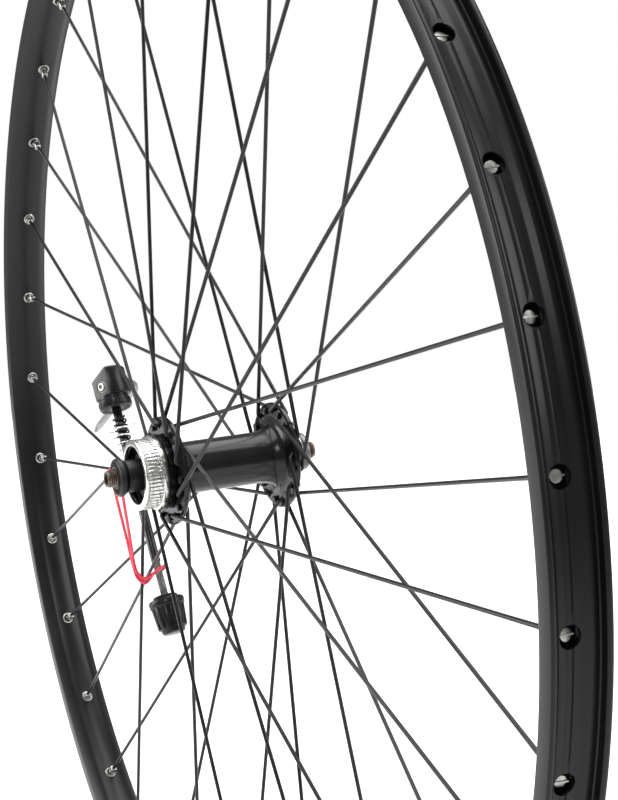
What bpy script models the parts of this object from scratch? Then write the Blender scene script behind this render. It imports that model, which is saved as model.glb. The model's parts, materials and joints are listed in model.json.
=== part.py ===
"""Front bicycle wheel with its quick release skewer strapped between the spokes.

Frame: the origin is the hub's centre, +Y runs along the axle away from the disc side, +Z is up.
Sizes are in millimetres until they reach a mesh, which is in metres.
"""
import math

import bmesh
import bpy
import numpy as np
from mathutils import Matrix, Vector

MM = 0.001

# rim, for a 622 mm bead seat
SPOKE_COUNT = 36
FIRST_HOLE = 9.54
RIM_STEPS = 72
RIM_OUTER = 316.0
RIM_FACE = 302.5
RIM_HALF = 12.4
HOLE_RADIUS = 302.6
NIPPLE_HOLE = 2.65
ACCESS_HOLE = 4.4
VALVE_HOLE = 4.2
VALVE_SLOT = 25.5

# spokes
CROSSES = 3
SPOKE_RADIUS = 1.0
NIPPLE_RADIUS = 1.9
NIPPLE_HEAD = 2.9
RIM_STAGGER = 0.4

# hub
FLANGE_Y = (-23.4, 34.8)
FLANGE_HALF = 1.4
PITCH_RADIUS = 22.5
FLANGE_HOLE = 1.35
INNER_OFFSET = 2.75
OUTER_OFFSET = 3.45
HUB_STEPS = 36
BALL_RADIUS = 2.38
BALL_PITCH = 8.9
BALL_Y = (-31.0, 37.2)
BALLS = 10
AXLE_RADIUS = 4.3
AXLE_BORE = 2.65
AXLE_END = 54.6
LOCKNUT_FACE = 50.0
LOCKNUT_RADIUS = 9.3

# skewer: its rod lies in a plane between the two fans of spokes
SKEWER_BASE = Vector((-108.5, -9.9, 10.5))
SKEWER_LEAN = math.radians(28.8)
SKEWER_TILT = 0.0236
ROD_RADIUS = 2.5
THREAD_RADIUS = 2.15
THREAD_FROM = 86.0
ROD_TOP = -8.0
ROD_END = 118.0
HEAD_TOP = -24.2
HEAD_RADIUS = 9.6
CHEEK = 7.5
PIN_HEIGHT = 14.4
PIN_RADIUS = 2.4
PIN_TURN = math.radians(27.4)
LEVER_OUT = 13.5
LEVER_LENGTH = 32.5
NUT_FACE = 106.0
NUT_LENGTH = 18.5

# rubber band: the spokes that it hooks over and bends round, and where along them
BAND = 0.85
HOOK_SPOKE = 19
HOOK_ALONG = 81.9
HOOK_RADIUS = 2.35
BEND_SPOKE = 23
BEND_ALONG = 70.7
BEND_RADIUS = 6.27
STRAND_GAP = 1.62
BAND_WRAP = 89.9
WRAP_RADIUS = 3.31

SIDE = Vector((0, 1, 0))
DOWN = Vector((math.sin(SKEWER_LEAN) * math.cos(SKEWER_TILT), math.sin(SKEWER_TILT),
               -math.cos(SKEWER_LEAN) * math.cos(SKEWER_TILT)))
ACROSS = Vector((-math.cos(SKEWER_LEAN), 0, -math.sin(SKEWER_LEAN)))
BESIDE = DOWN.cross(ACROSS)
PIN_WAY = BESIDE * math.cos(PIN_TURN) + ACROSS * math.sin(PIN_TURN)
LEVER_WAY = ACROSS * math.cos(PIN_TURN) - BESIDE * math.sin(PIN_TURN)


def clear_scene():
    for obj in list(bpy.data.objects):
        bpy.data.objects.remove(obj, do_unlink=True)


def make_material(name, colour, roughness, metallic):
    material = bpy.data.materials.new(name)
    material.use_nodes = True
    shader = material.node_tree.nodes["Principled BSDF"]
    shader.inputs["Base Color"].default_value = (*colour, 1)
    shader.inputs["Roughness"].default_value = roughness
    shader.inputs["Metallic"].default_value = metallic
    return material


def add_object(name, bm, look=None, smooth=True):
    mesh = bpy.data.meshes.new(name)
    bmesh.ops.recalc_face_normals(bm, faces=bm.faces)
    bm.to_mesh(mesh)
    bm.free()
    obj = bpy.data.objects.new(name, mesh)
    bpy.context.scene.collection.objects.link(obj)
    if look:
        mesh.materials.append(make_material(name, *look))
        mesh.shade_smooth() if smooth else mesh.shade_flat()
        mesh.set_sharp_from_angle(angle=math.radians(35))
    else:
        obj.hide_render = True
        obj.display_type = "WIRE"
    return obj


def apply_boolean(obj, cutter, operation="DIFFERENCE"):
    modifier = obj.modifiers.new(operation.lower(), "BOOLEAN")
    modifier.object = cutter
    modifier.operation = operation
    modifier.solver = "EXACT"


def join_rings(bm, rings, closed):
    count = len(rings)
    for i in range(count if closed else count - 1):
        first, second = rings[i], rings[(i + 1) % count]
        for k in range(len(first)):
            after = (k + 1) % len(first)
            bm.faces.new((first[k], first[after], second[after], second[k]))


def revolve(bm, profile, steps, turn=0.0):
    """Turns a closed (radius, y) outline about Y."""
    rings = []
    for i in range(steps):
        angle = turn + 2 * math.pi * i / steps
        way = Vector((math.cos(angle), 0, math.sin(angle)))
        rings.append([bm.verts.new((way * r + SIDE * y) * MM) for r, y in profile])
    join_rings(bm, rings, closed=True)


def ring_object(name, profile, look, steps=HUB_STEPS):
    bm = bmesh.new()
    revolve(bm, profile, steps)
    return add_object(name, bm, look)


def add_turned(bm, origin, axis, profile, steps):
    """Adds a solid of round sections, each (distance along axis, radius)."""
    axis = axis.normalized()
    u = axis.orthogonal().normalized()
    v = axis.cross(u)
    rings = []
    for along, radius in profile:
        ring = []
        for k in range(steps):
            angle = 2 * math.pi * (k + 0.5) / steps
            out = u * math.cos(angle) + v * math.sin(angle)
            ring.append(bm.verts.new((origin + axis * along + out * radius) * MM))
        rings.append(ring)
    join_rings(bm, rings, closed=False)
    bm.faces.new(rings[0])
    bm.faces.new(rings[-1])


def add_tube(bm, points, sections, steps, closed=False, up=None):
    """Sweeps round or oval sections, each (radius, radius across), along the points."""
    count = len(points)
    rings = []
    u = up or (points[1] - points[0]).orthogonal()
    for i, point in enumerate(points):
        before = points[i - 1] if i or closed else point
        after = points[(i + 1) % count] if i < count - 1 or closed else point
        tangent = (after - before).normalized()
        u = (u - tangent * u.dot(tangent)).normalized()
        v = tangent.cross(u)
        wide, thick = sections[i] if len(sections) > 1 else sections[0]
        ring = []
        for k in range(steps):
            angle = 2 * math.pi * (k + 0.5) / steps
            out = u * (math.cos(angle) * wide) + v * (math.sin(angle) * thick)
            ring.append(bm.verts.new((point + out) * MM))
        rings.append(ring)
    if closed:
        join_rings(bm, rings, closed=False)
        shift = nearest_shift(rings[-1], rings[0])
        for k in range(steps):
            a, b = rings[-1][k], rings[-1][(k + 1) % steps]
            c, d = rings[0][(k + 1 + shift) % steps], rings[0][(k + shift) % steps]
            bm.faces.new((a, b, c, d))
        return
    join_rings(bm, rings, closed=False)
    bm.faces.new(rings[0])
    bm.faces.new(rings[-1])


def nearest_shift(last, first):
    steps = len(last)
    gaps = []
    for shift in range(steps):
        pairs = ((last[k].co, first[(k + shift) % steps].co) for k in range(steps))
        gaps.append(sum((a - b).length for a, b in pairs))
    return gaps.index(min(gaps))


def smooth_loop(points, per_span):
    """A closed curve through the points."""
    count = len(points)
    curve = []
    for i in range(count):
        p0, p1, p2, p3 = (points[(i + k) % count] for k in (-1, 0, 1, 2))
        for k in range(per_span):
            t = k / per_span
            a = 2 * p1
            b = p2 - p0
            c = 2 * p0 - 5 * p1 + 4 * p2 - p3
            d = 3 * p1 - p0 - 3 * p2 + p3
            curve.append((a + b * t + c * t * t + d * t * t * t) / 2)
    return curve


def radial(angle):
    return Vector((math.cos(angle), 0, math.sin(angle)))


def rim_angle(index):
    return math.radians(FIRST_HOLE + 360 / SPOKE_COUNT * index)


def mirrored(half):
    """A closed outline from its +Y half, listed from the inside out and back."""
    return half + [(r, -y) for r, y in reversed(half)]


def make_rim():
    bm = bmesh.new()
    turn = rim_angle(0) + math.pi / RIM_STEPS
    outside = mirrored([
        (RIM_FACE, 5.6), (308.2, RIM_HALF), (RIM_OUTER, RIM_HALF), (RIM_OUTER, 10.4),
        (310.2, 11.0), (310.2, 6.6), (308.0, 4.9),
    ])
    revolve(bm, outside, RIM_STEPS, turn)
    obj = add_object("rim", bm, ((0.012, 0.012, 0.014), 0.32, 0.4))
    bm = bmesh.new()
    revolve(bm, mirrored([(303.8, 5.1), (308.6, 10.8), (306.8, 5.5)]), RIM_STEPS, turn)
    apply_boolean(obj, add_object("rim_cavity", bm))
    bm = bmesh.new()
    drill = ((-2.6, NIPPLE_HOLE), (2.7, NIPPLE_HOLE), (2.7, ACCESS_HOLE), (9.4, ACCESS_HOLE))
    for i in range(SPOKE_COUNT):
        way = radial(rim_angle(i))
        add_turned(bm, way * HOLE_RADIUS, way, drill, 6)
    way = radial(rim_angle(VALVE_SLOT))
    add_turned(bm, way * HOLE_RADIUS, way, ((-3, VALVE_HOLE), (9.4, VALVE_HOLE)), 12)
    apply_boolean(obj, add_object("rim_drill", bm))


def spoke_plan(index):
    """Hub hole, rim hole and the side of the flange that this spoke leaves from."""
    right = index % 2 == 0
    leads = 1 if index % 4 in (1, 2) else -1
    angle = rim_angle(index)
    hub_angle = angle + leads * CROSSES * 4 * math.pi / SPOKE_COUNT
    hole = radial(hub_angle) * PITCH_RADIUS + SIDE * FLANGE_Y[right]
    end = radial(angle) * HOLE_RADIUS + SIDE * (RIM_STAGGER if right else -RIM_STAGGER)
    return hole, end, -leads if right else leads, right


def make_spoke(index):
    hole, end, side, right = spoke_plan(index)
    outer = (side > 0) == right
    offset = OUTER_OFFSET if outer else INNER_OFFSET
    lean = SIDE * side
    start = hole + lean * offset
    way = (end - start).normalized()
    head = hole - lean * (FLANGE_HALF + 1.4)
    path = [head, head + lean * 0.9, head + lean * 1.15]
    radii = [1.85, 1.85, SPOKE_RADIUS]
    path += [hole + lean * (offset - 0.9), start + way * 1.3]
    radii += [SPOKE_RADIUS, SPOKE_RADIUS]
    for along, radius in ((-5.8, SPOKE_RADIUS), (-5.7, NIPPLE_RADIUS), (1.45, NIPPLE_RADIUS),
                          (1.75, NIPPLE_HEAD), (3.3, NIPPLE_HEAD)):
        path.append(end + way * along)
        radii.append(radius)
    bm = bmesh.new()
    add_tube(bm, path, [(r, r) for r in radii], 5, up=way.cross(lean))
    add_object(f"spoke_{index + 1:02d}", bm, ((0.02, 0.02, 0.022), 0.35, 0.6))


def make_hub_shell():
    left, right = FLANGE_Y
    profile = [
        (14.0, -39.2), (15.5, -39.2), (15.5, -28.4), (18.3, -28.4), (18.3, -26.6),
        (17.0, left - FLANGE_HALF), (25.9, left - FLANGE_HALF), (26.5, left - 0.8), (26.5, left + 0.8),
        (25.9, left + FLANGE_HALF), (15.5, left + FLANGE_HALF), (12.7, -17.5),
        (13.1, 24.0), (14.4, 28.6), (18.0, right - FLANGE_HALF),
        (25.7, right - FLANGE_HALF), (26.3, right - 0.8), (26.3, right + 0.8),
        (25.7, right + FLANGE_HALF), (14.3, right + FLANGE_HALF), (14.3, 41.0),
        (13.0, 41.0), (13.0, 33.1), (10.5, 33.1), (10.5, -27.0), (13.0, -27.0), (13.0, -36.0), (14.0, -36.0),
    ]
    obj = ring_object("hub_shell", profile, ((0.01, 0.01, 0.011), 0.18, 0.5))
    bm = bmesh.new()
    for index in range(SPOKE_COUNT):
        hole = spoke_plan(index)[0]
        add_turned(bm, hole, SIDE, ((-2.5, FLANGE_HOLE), (2.5, FLANGE_HOLE)), 6)
    apply_boolean(obj, add_object("flange_drill", bm))


def make_spline_ring():
    profile = [
        (14.3, -40.3), (16.9, -40.3), (17.2, -40.0), (17.2, -39.4), (16.4, -39.2), (16.4, -38.4),
        (17.1, -38.2), (17.1, -31.5), (18.0, -31.5), (18.0, -28.7), (15.8, -28.7), (15.8, -39.5), (14.3, -39.5),
    ]
    ring_object("rotor_spline_ring", profile, ((0.72, 0.71, 0.68), 0.22, 1.0), 40)


def make_axle():
    end = AXLE_END
    profile = [
        (AXLE_BORE, -end), (3.9, -end), (AXLE_RADIUS, -end + 0.5), (AXLE_RADIUS, end - 0.5), (3.9, end), (AXLE_BORE, end),
    ]
    ring_object("axle", profile, ((0.16, 0.12, 0.09), 0.35, 0.9), 24)


def make_bearings():
    steel = ((0.5, 0.5, 0.5), 0.2, 1.0)
    black = ((0.015, 0.015, 0.015), 0.45, 0.3)
    cup = [(12.7, -2.6), (12.7, 3.8), (7.4, 3.8), (7.4, 2.75), (10.6, 2.75), (11.65, 1.7), (11.65, -2.6)]
    cone = [(4.6, 1.3), (4.9, 1.3), (5.6, -0.2), (7.8, -3.0), (7.8, -14.3), (4.6, -14.3)]
    short_cone = [(4.6, 1.3), (4.9, 1.3), (5.6, -0.2), (7.8, -3.0), (7.8, -8.1), (4.6, -8.1)]
    seal = [(8.2, -3.4), (12.6, -3.4), (12.6, -4.4), (8.2, -4.4)]
    short_seal = [(8.2, -2.9), (12.6, -2.9), (12.6, -3.7), (8.2, -3.7)]
    for name, y, way, cone_shape, seal_shape in (
        ("left", BALL_Y[0], 1, cone, seal),
        ("right", BALL_Y[1], -1, short_cone, short_seal),
    ):
        for kind, shape, look in (("bearing_cup", cup, steel), ("bearing_cone", cone_shape, black), ("dust_seal", seal_shape, black)):
            ring_object(f"{kind}_{name}", [(r, y + way * a) for r, a in shape], look, 24)
        make_ball_ring(f"ball_ring_{name}", y)


def make_ball_ring(name, y):
    bm = bmesh.new()
    revolve(bm, [(8.4, y - 0.5), (9.4, y - 0.5), (9.4, y + 0.5), (8.4, y + 0.5)], 20)
    obj = add_object(name, bm, ((0.6, 0.6, 0.6), 0.15, 1.0))
    bm = bmesh.new()
    for i in range(BALLS):
        way = radial(2 * math.pi * i / BALLS)
        place = Matrix.Translation((way * BALL_PITCH + SIDE * y) * MM)
        bmesh.ops.create_uvsphere(bm, u_segments=8, v_segments=6, radius=BALL_RADIUS * MM, matrix=place)
    apply_boolean(obj, add_object(f"{name}_balls", bm), "UNION")


def make_end_parts():
    inner = LOCKNUT_FACE - 4.3
    profile = [
        (4.6, LOCKNUT_FACE), (8.2, LOCKNUT_FACE), (LOCKNUT_RADIUS, 49.0), (LOCKNUT_RADIUS, 46.8), (8.4, inner), (4.6, inner),
    ]
    ring_object("locknut_left", [(r, -y) for r, y in profile], ((0.015, 0.015, 0.015), 0.4, 0.6), 24)
    ring_object("locknut_right", profile, ((0.2, 0.2, 0.2), 0.35, 0.8), 24)
    boot = [(8.1, 41.4), (9.1, 41.4), (9.5, 42.2), (9.5, 44.6), (9.1, 45.3), (8.1, 45.3)]
    ring_object("dust_boot_right", boot, ((0.012, 0.012, 0.012), 0.6, 0.0), 24)


def skewer_point(along, side=0.0, across=0.0):
    return SKEWER_BASE + DOWN * along + BESIDE * side + ACROSS * across


def make_skewer_rod():
    bm = bmesh.new()
    profile = ((ROD_TOP, 2.2), (ROD_TOP + 0.4, ROD_RADIUS), (THREAD_FROM - 0.6, ROD_RADIUS),
               (THREAD_FROM, THREAD_RADIUS), (ROD_END, THREAD_RADIUS))
    add_turned(bm, SKEWER_BASE, DOWN, profile, 16)
    add_object("skewer_rod", bm, ((0.05, 0.05, 0.05), 0.3, 0.9))


def add_block(bm, centre, ways, half):
    corners = [
        bm.verts.new((centre + ways[0] * (half[0] * a) + ways[1] * (half[1] * b) + ways[2] * (half[2] * c)) * MM)
        for a in (-1, 1) for b in (-1, 1) for c in (-1, 1)
    ]
    for face in ((0, 1, 3, 2), (4, 6, 7, 5), (0, 4, 5, 1), (2, 3, 7, 6), (0, 2, 6, 4), (1, 5, 7, 3)):
        bm.faces.new([corners[i] for i in face])


def make_housing():
    """The cam body: a round foot, a block with two flat cheeks, a bore for the rod and one for the cam shaft."""
    bm = bmesh.new()
    profile = ((HEAD_TOP, HEAD_RADIUS - 0.9), (HEAD_TOP + 0.9, HEAD_RADIUS), (-8.5, HEAD_RADIUS), (-8.1, 8.3),
               (-7.2, 8.3), (-6.8, 8.9), (-2.4, 8.9), (-1.8, 8.3))
    add_turned(bm, SKEWER_BASE, DOWN, profile, 24)
    obj = add_object("skewer_housing", bm, ((0.012, 0.012, 0.013), 0.3, 0.3))
    pin = skewer_point(-PIN_HEIGHT)
    for way in (-1, 1):
        bm = bmesh.new()
        add_block(bm, pin + PIN_WAY * (way * (CHEEK + 5)) - DOWN * 5.85, (PIN_WAY, LEVER_WAY, DOWN), (5, 14, 12))
        apply_boolean(obj, add_object(f"cheek_cut_{way}", bm))
    bm = bmesh.new()
    slant = (LEVER_WAY * 5 - DOWN * 12).normalized()
    corner = skewer_point(HEAD_TOP) - LEVER_WAY * 6
    add_block(bm, corner + slant * 10, (PIN_WAY, PIN_WAY.cross(slant), slant), (15, 20, 10))
    apply_boolean(obj, add_object("top_cut", bm))
    bm = bmesh.new()
    add_turned(bm, SKEWER_BASE, DOWN, ((-9, 2.85), (2, 2.85)), 16)
    apply_boolean(obj, add_object("housing_rod_bore", bm))
    bm = bmesh.new()
    add_turned(bm, pin, PIN_WAY, ((-12, PIN_RADIUS + 0.3), (12, PIN_RADIUS + 0.3)), 16)
    apply_boolean(obj, add_object("housing_pin_bore", bm))


def lever_point(along):
    root = skewer_point(-PIN_HEIGHT) + PIN_WAY * LEVER_OUT
    return root + LEVER_WAY * along + DOWN * (0.3 * along + 0.003 * along * along)


def make_lever():
    """The cam shaft through the housing, and the lever on the end of it."""
    pin = skewer_point(-PIN_HEIGHT)
    bm = bmesh.new()
    add_turned(bm, pin, PIN_WAY, ((-CHEEK - 0.5, PIN_RADIUS), (LEVER_OUT + 3.4, PIN_RADIUS)), 16)
    add_object("skewer_cam_pin", bm, ((0.6, 0.6, 0.6), 0.25, 1.0))
    bm = bmesh.new()
    add_turned(bm, pin, PIN_WAY, ((LEVER_OUT - 3, 4.9), (LEVER_OUT + 3, 4.9)), 20)
    obj = add_object("skewer_lever", bm, ((0.6, 0.6, 0.6), 0.35, 1.0))
    bm = bmesh.new()
    arc = [lever_point(d) for d in (3, 7, 12, 17, 22, 26.5, 29.5, LEVER_LENGTH - 1, LEVER_LENGTH)]
    wide = (2.8, 2.9, 3.1, 3.2, 3.2, 3.1, 2.7, 2.0, 1.2)
    thick = (3.0, 2.0, 1.6, 1.4, 1.3, 1.2, 1.1, 0.9, 0.6)
    add_tube(bm, arc, list(zip(wide, thick)), 12, up=PIN_WAY)
    apply_boolean(obj, add_object("lever_arm", bm), "UNION")
    bm = bmesh.new()
    add_turned(bm, pin, PIN_WAY, ((LEVER_OUT - 5, PIN_RADIUS + 0.3), (LEVER_OUT + 5, PIN_RADIUS + 0.3)), 16)
    apply_boolean(obj, add_object("lever_bore", bm))


def make_nut():
    face = skewer_point(NUT_FACE)
    for name, profile, look in (
        ("nut_face_ring", ((-2.0, 6.1), (-1.6, 6.6), (-0.3, 6.6)), ((0.03, 0.03, 0.03), 0.35, 0.6)),
        ("skewer_nut", ((0, 8.9), (0.7, 9.5), (4, 9.5), (12, 8.4), (NUT_LENGTH - 1.5, 7.0), (NUT_LENGTH, 5.6)),
         ((0.012, 0.012, 0.013), 0.35, 0.2)),
    ):
        bm = bmesh.new()
        add_turned(bm, face, DOWN, profile, 24)
        obj = add_object(name, bm, look)
        bm = bmesh.new()
        add_turned(bm, face, DOWN, ((-4, 2.6), (17, 2.6)), 16)
        apply_boolean(obj, add_object(f"{name}_bore", bm))


def make_spring(name, start, length, first, last, wire, turns, look):
    per_turn = 12
    points = []
    for i in range(int(turns * per_turn) + 1):
        t = i / (turns * per_turn)
        angle = 2 * math.pi * turns * t
        radius = first + (last - first) * t
        points.append(skewer_point(start + length * t, radius * math.cos(angle), radius * math.sin(angle)))
    bm = bmesh.new()
    add_tube(bm, points, [(wire, wire)], 6)
    add_object(name, bm, look)


def spoke_line(index):
    """Where a spoke leaves its flange, and its direction."""
    hole, end, side, right = spoke_plan(index)
    offset = OUTER_OFFSET if (side > 0) == right else INNER_OFFSET
    start = hole + SIDE * (side * offset)
    return start, (end - start).normalized()


def band_route():
    """Over one spoke, in two strands past the front of another, and round the rod below them."""
    top, top_way = spoke_line(HOOK_SPOKE)
    hook = top + top_way * HOOK_ALONG
    low, low_way = spoke_line(BEND_SPOKE)
    bend = low + low_way * BEND_ALONG
    wrap = skewer_point(BAND_WRAP)
    fall = (bend - hook).normalized()
    turn = (wrap - bend).normalized()
    inner = (turn - fall).normalized()
    inner = (inner - low_way * inner.dot(low_way)).normalized()
    side = top_way.cross(fall).normalized() * HOOK_RADIUS
    enter = (fall * inner.dot(fall) - inner).normalized()
    leave = (turn * inner.dot(turn) - inner).normalized()
    facing = bend - wrap
    facing = (facing - DOWN * facing.dot(DOWN)).normalized()
    beyond = DOWN.cross(facing)

    def strand(sign):
        gap = low_way * (STRAND_GAP * sign)
        first, last = hook + side * sign, bend + enter * BEND_RADIUS + gap
        return [
            hook - fall * 0.9 + side * (sign * 0.91),
            hook + fall * 2.5 + side * sign,
            first.lerp(last, 0.35),
            first.lerp(last, 0.7),
            last - fall * 0.6,
            bend + (enter + leave).normalized() * BEND_RADIUS + gap,
            bend + leave * BEND_RADIUS + turn * 0.8 + gap,
        ]

    points = [hook - fall * HOOK_RADIUS] + strand(1)
    for degrees, lift in ((88, 1.0), (120, 0.6), (180, 0.0), (240, -0.6), (272, -1.0)):
        angle = math.radians(degrees)
        out = facing * math.cos(angle) + beyond * math.sin(angle)
        points.append(wrap + DOWN * lift + out * WRAP_RADIUS)
    return points + strand(-1)[::-1]


def make_rubber_band():
    bm = bmesh.new()
    add_tube(bm, smooth_loop(band_route(), 3), [(BAND, BAND)], 6, closed=True)
    add_object("rubber_band", bm, ((0.75, 0.06, 0.1), 0.4, 0.0))


def main():
    clear_scene()
    make_rim()
    for index in range(SPOKE_COUNT):
        make_spoke(index)
    make_hub_shell()
    make_spline_ring()
    make_axle()
    make_bearings()
    make_end_parts()
    make_skewer_rod()
    make_housing()
    make_lever()
    make_nut()
    make_spring("spring_black", 2.5, 14.5, 3.4, 3.4, 0.55, 4.5, ((0.02, 0.02, 0.02), 0.4, 0.6))
    make_spring("spring_chrome", 8, 13.5, 8.0, 3.7, 0.45, 3.5, ((0.8, 0.8, 0.8), 0.12, 1.0))
    make_rubber_band()


main()
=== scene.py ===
import json
import math

import bmesh
import bpy
from mathutils import Matrix, Vector


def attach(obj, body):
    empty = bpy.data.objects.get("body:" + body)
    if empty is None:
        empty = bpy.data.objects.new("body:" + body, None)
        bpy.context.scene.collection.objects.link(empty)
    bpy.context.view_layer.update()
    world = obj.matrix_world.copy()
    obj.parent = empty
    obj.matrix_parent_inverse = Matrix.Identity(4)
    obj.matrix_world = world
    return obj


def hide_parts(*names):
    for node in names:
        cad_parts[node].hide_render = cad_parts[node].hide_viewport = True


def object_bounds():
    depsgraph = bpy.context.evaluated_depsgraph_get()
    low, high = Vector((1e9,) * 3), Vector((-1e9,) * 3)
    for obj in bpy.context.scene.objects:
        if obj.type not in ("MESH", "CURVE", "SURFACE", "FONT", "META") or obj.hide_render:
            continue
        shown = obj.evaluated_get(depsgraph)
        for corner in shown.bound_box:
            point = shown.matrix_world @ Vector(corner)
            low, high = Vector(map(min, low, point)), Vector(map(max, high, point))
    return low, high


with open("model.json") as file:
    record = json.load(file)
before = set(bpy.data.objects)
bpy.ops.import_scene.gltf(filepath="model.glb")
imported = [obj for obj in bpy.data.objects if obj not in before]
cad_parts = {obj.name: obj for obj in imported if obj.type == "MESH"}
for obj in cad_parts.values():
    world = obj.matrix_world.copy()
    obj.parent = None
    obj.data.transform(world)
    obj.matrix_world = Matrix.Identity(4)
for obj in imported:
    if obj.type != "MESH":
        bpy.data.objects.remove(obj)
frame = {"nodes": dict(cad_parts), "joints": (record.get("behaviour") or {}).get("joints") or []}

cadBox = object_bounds()
mm = 0.001
yAxis = Vector((0, 1, 0))
joints = {joint["name"]: joint for joint in frame["joints"]}


class Value:
    def __init__(self, tree, socket):
        self.tree = tree
        self.socket = socket

    def maths(self, operation, other=0.0, swapped=False):
        pair = (other, self) if swapped else (self, other)
        return self.tree.add("ShaderNodeMath", {"operation": operation}, {0: pair[0], 1: pair[1]})

    def __add__(self, other):
        return self.maths("ADD", other)

    def __radd__(self, other):
        return self.maths("ADD", other, True)

    def __mul__(self, other):
        return self.maths("MULTIPLY", other)

    def __rmul__(self, other):
        return self.maths("MULTIPLY", other, True)

    def __pow__(self, other):
        return self.maths("POWER", other)

    def __rpow__(self, other):
        return self.maths("POWER", other, True)


class Tree:
    def __init__(self, owner):
        self.nodes = owner.node_tree.nodes
        self.links = owner.node_tree.links

    def add(self, kind, settings, values, output=0):
        node = self.nodes.new(kind)
        for key, value in settings.items():
            if key == "stops":
                self.setStops(node.color_ramp, value)
            else:
                setattr(node, key, value)
        for key, value in values.items():
            self.plug(value, node.inputs[key])
        return Value(self, node.outputs[output])

    def setStops(self, ramp, stops):
        while len(ramp.elements) < len(stops):
            ramp.elements.new(0.5)
        for element, (position, colour) in zip(ramp.elements, stops):
            element.position = position
            element.color = (*colour, 1)

    def plug(self, value, socket):
        if isinstance(value, Value):
            self.links.new(value.socket, socket)
        else:
            socket.default_value = value


class Finish(Tree):
    def __init__(self, name, **fixed):
        self.material = bpy.data.materials.new(name)
        self.material.use_nodes = True
        super().__init__(self.material)
        self.shader = self.nodes["Principled BSDF"]
        for socket, value in fixed.items():
            self.shader.inputs[socket.replace("_", " ")].default_value = value
        self.place = self.add("ShaderNodeTexCoord", {}, {}, "Object")
        self.x = self.add("ShaderNodeSeparateXYZ", {}, {0: self.place}, "X")
        parts = self.x.socket.node
        self.y, self.z = Value(self, parts.outputs["Y"]), Value(self, parts.outputs["Z"])

    def radius(self):
        return (self.x * self.x + self.z * self.z) ** 0.5

    def noise(self, scale, detail=3.0, rough=0.5, at=None):
        values = {"Vector": at or self.place, "Scale": scale, "Detail": detail, "Roughness": rough}
        return self.add("ShaderNodeTexNoise", {}, values)

    def turned(self, scale):
        # the same round the wheel axis, so noise in it draws lathe lines
        return self.add("ShaderNodeCombineXYZ", {}, {"X": self.radius() * scale, "Y": self.y * scale})

    def ramp(self, value, *stops):
        return self.add("ShaderNodeValToRGB", {"stops": stops}, {0: value})

    def colour(self, value):
        self.plug(value, self.shader.inputs["Base Color"])

    def roughness(self, value):
        self.plug(value, self.shader.inputs["Roughness"])

    def bump(self, height, strength, distance):
        values = {"Height": height, "Strength": strength, "Distance": distance}
        self.plug(self.add("ShaderNodeBump", {}, values), self.shader.inputs["Normal"])
        return self


def grey(level):
    return (level, level, level)


def anodisedBlack():
    look = Finish("anodisedBlack", IOR=1.5, Specular_IOR_Level=0.22, Coat_Weight=0.04, Coat_Roughness=0.2)
    lines = look.noise(1.0, 4.0, 0.6, look.turned(1600))
    cloud = look.noise(22.0, 4.0)
    grain = look.noise(2600.0, 2.0)
    look.colour(look.ramp(cloud, (0.35, (0.0045, 0.0045, 0.0053)), (0.7, (0.0085, 0.0083, 0.0095))))
    look.roughness(0.24 + 0.1 * lines + 0.1 * cloud)
    return look.bump(lines * 0.7 + grain * 0.3, 0.16, 0.00012).material


def spokeBlack():
    look = Finish("spokeBlack", Metallic=0.1, IOR=1.5, Specular_IOR_Level=0.3)
    speck = look.noise(900.0, 3.0)
    worn = look.noise(60.0, 5.0, 0.65)
    look.colour(look.ramp(worn, (0.4, (0.006, 0.006, 0.007)), (0.75, (0.016, 0.0155, 0.018))))
    look.roughness(0.24 + 0.14 * speck)
    return look.bump(speck, 0.1, 0.0001).material


def hubBlack():
    look = Finish("hubBlack", IOR=1.5, Specular_IOR_Level=0.25, Coat_Weight=0.16, Coat_Roughness=0.06)
    lines = look.noise(1.0, 3.0, 0.5, look.turned(2400))
    cloud = look.noise(45.0, 4.0)
    look.colour(look.ramp(cloud, (0.3, (0.003, 0.003, 0.0034)), (0.75, (0.0065, 0.006, 0.0058))))
    look.roughness(0.16 + 0.1 * lines + 0.06 * cloud)
    return look.bump(lines, 0.1, 0.0001).material


def machinedSilver():
    look = Finish("machinedSilver", Metallic=1.0)
    lines = look.noise(1.0, 4.0, 0.6, look.turned(2600))
    stain = look.noise(130.0, 4.0)
    look.colour(look.ramp(stain, (0.3, (0.66, 0.655, 0.63)), (0.7, (0.83, 0.825, 0.80))))
    look.roughness(0.16 + 0.12 * lines)
    return look.bump(lines, 0.05, 0.0001).material


def nickel():
    look = Finish("nickel", Metallic=1.0)
    cloud = look.noise(420.0, 4.0)
    look.colour(look.ramp(cloud, (0.3, (0.26, 0.26, 0.25)), (0.7, (0.46, 0.455, 0.44))))
    look.roughness(0.28 + 0.2 * cloud)
    return look.bump(cloud, 0.15, 0.0001).material


def oiledSteel():
    look = Finish("oiledSteel", Metallic=0.85)
    cloud = look.noise(260.0, 4.0, 0.6)
    look.colour(look.ramp(cloud, (0.3, (0.06, 0.045, 0.035)), (0.72, (0.19, 0.15, 0.12))))
    look.roughness(0.26 + 0.22 * cloud)
    return look.bump(cloud, 0.15, 0.0001).material


def groundSteel():
    look = Finish("groundSteel", Metallic=1.0)
    lines = look.noise(1.0, 3.0, 0.5, look.turned(1900))
    look.colour(look.ramp(lines, (0.3, grey(0.42)), (0.7, grey(0.6))))
    look.roughness(0.12 + 0.16 * lines)
    return look.bump(lines, 0.12, 0.0001).material


def blackOxide():
    look = Finish("blackOxide", Metallic=0.5, IOR=1.5)
    cloud = look.noise(300.0, 5.0, 0.6)
    rub = look.noise(70.0, 3.0)
    look.colour(look.ramp(rub, (0.4, (0.009, 0.009, 0.0095)), (0.75, (0.028, 0.026, 0.025))))
    look.roughness(0.28 + 0.22 * cloud)
    return look.bump(cloud, 0.2, 0.00015).material


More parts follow.
